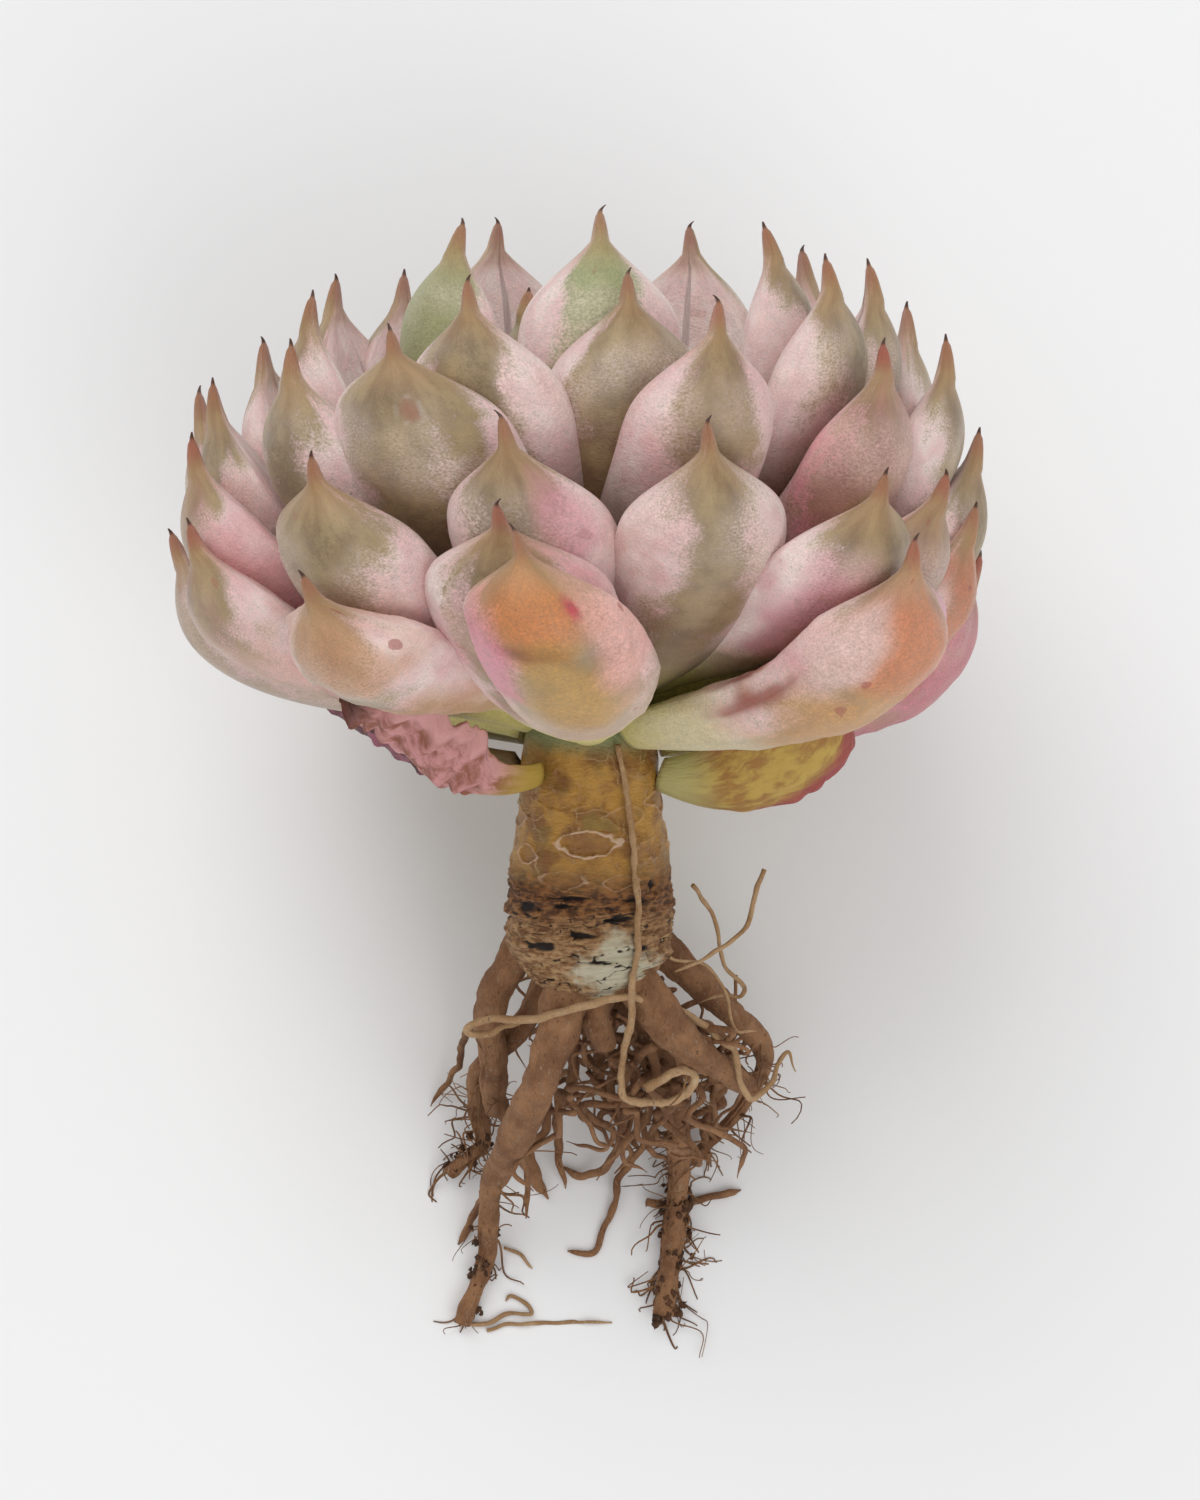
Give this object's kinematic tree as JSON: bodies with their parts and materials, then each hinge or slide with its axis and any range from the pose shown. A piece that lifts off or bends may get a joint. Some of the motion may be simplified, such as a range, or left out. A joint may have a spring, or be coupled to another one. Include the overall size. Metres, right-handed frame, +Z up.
{
  "type": "bare-root rosette succulent",
  "caption": "Bare-root rosette succulent lying on its side: fleshy pointed pink and olive leaves round a short brown stem, with woody roots and no pot.",
  "frame": {"origin": "middle of the footprint, on the surface the plant lies on", "axes": "+Z up; the stem lies in the Y-Z plane and rises by 20 degrees towards +Y, so the rosette faces +Y and the roots point to -Y; +X is the plant's right as it is seen from above with the roots at the bottom"},
  "size_m": [0.0906, 0.1224, 0.0938],
  "materials": {
    "leaf": "satin",
    "young_leaf": "satin",
    "dry_leaf": "matte",
    "stem_bark": "matte",
    "root": "matte"
  },
  "bodies": {
    "root": {"stem": "stem_bark", "heart_bud": "young_leaf", "leaf_49": "leaf", "leaf_48": "leaf", "leaf_47": "leaf", "leaf_46": "leaf", "leaf_45": "leaf", "leaf_44": "leaf", "leaf_43": "leaf", "leaf_42": "leaf", "leaf_41": "leaf", "leaf_40": "leaf", "leaf_39": "leaf", "leaf_38": "leaf", "leaf_37": "leaf", "leaf_36": "leaf", "leaf_35": "leaf", "leaf_34": "leaf", "leaf_33": "leaf", "leaf_32": "leaf", "leaf_31": "leaf", "leaf_30": "leaf", "leaf_29": "leaf", "leaf_28": "leaf", "leaf_27": "leaf", "leaf_26": "leaf", "leaf_25": "leaf", "leaf_24": "leaf", "leaf_23": "leaf", "leaf_22": "leaf", "leaf_21": "leaf", "leaf_20": "leaf", "leaf_19": "leaf", "leaf_18": "leaf", "leaf_17": "leaf", "leaf_16": "leaf", "leaf_15": "leaf", "leaf_14": "leaf", "leaf_13": "leaf", "leaf_12": "leaf", "leaf_11": "leaf", "leaf_10": "leaf", "leaf_09": "leaf", "leaf_08": "leaf", "leaf_07": "leaf", "leaf_06": "leaf", "leaf_05": "leaf", "leaf_04": "leaf", "leaf_03": "leaf", "leaf_02": "leaf", "leaf_01": "leaf", "withered_leaf_1": "dry_leaf", "withered_leaf_2": "dry_leaf", "withered_leaf_3": "dry_leaf", "root_front_left": "root", "root_far_left": "root", "root_looped_left": "root", "root_front_right": "root", "root_long_right": "root", "root_far_right": "root"}
  },
  "joints": []
}
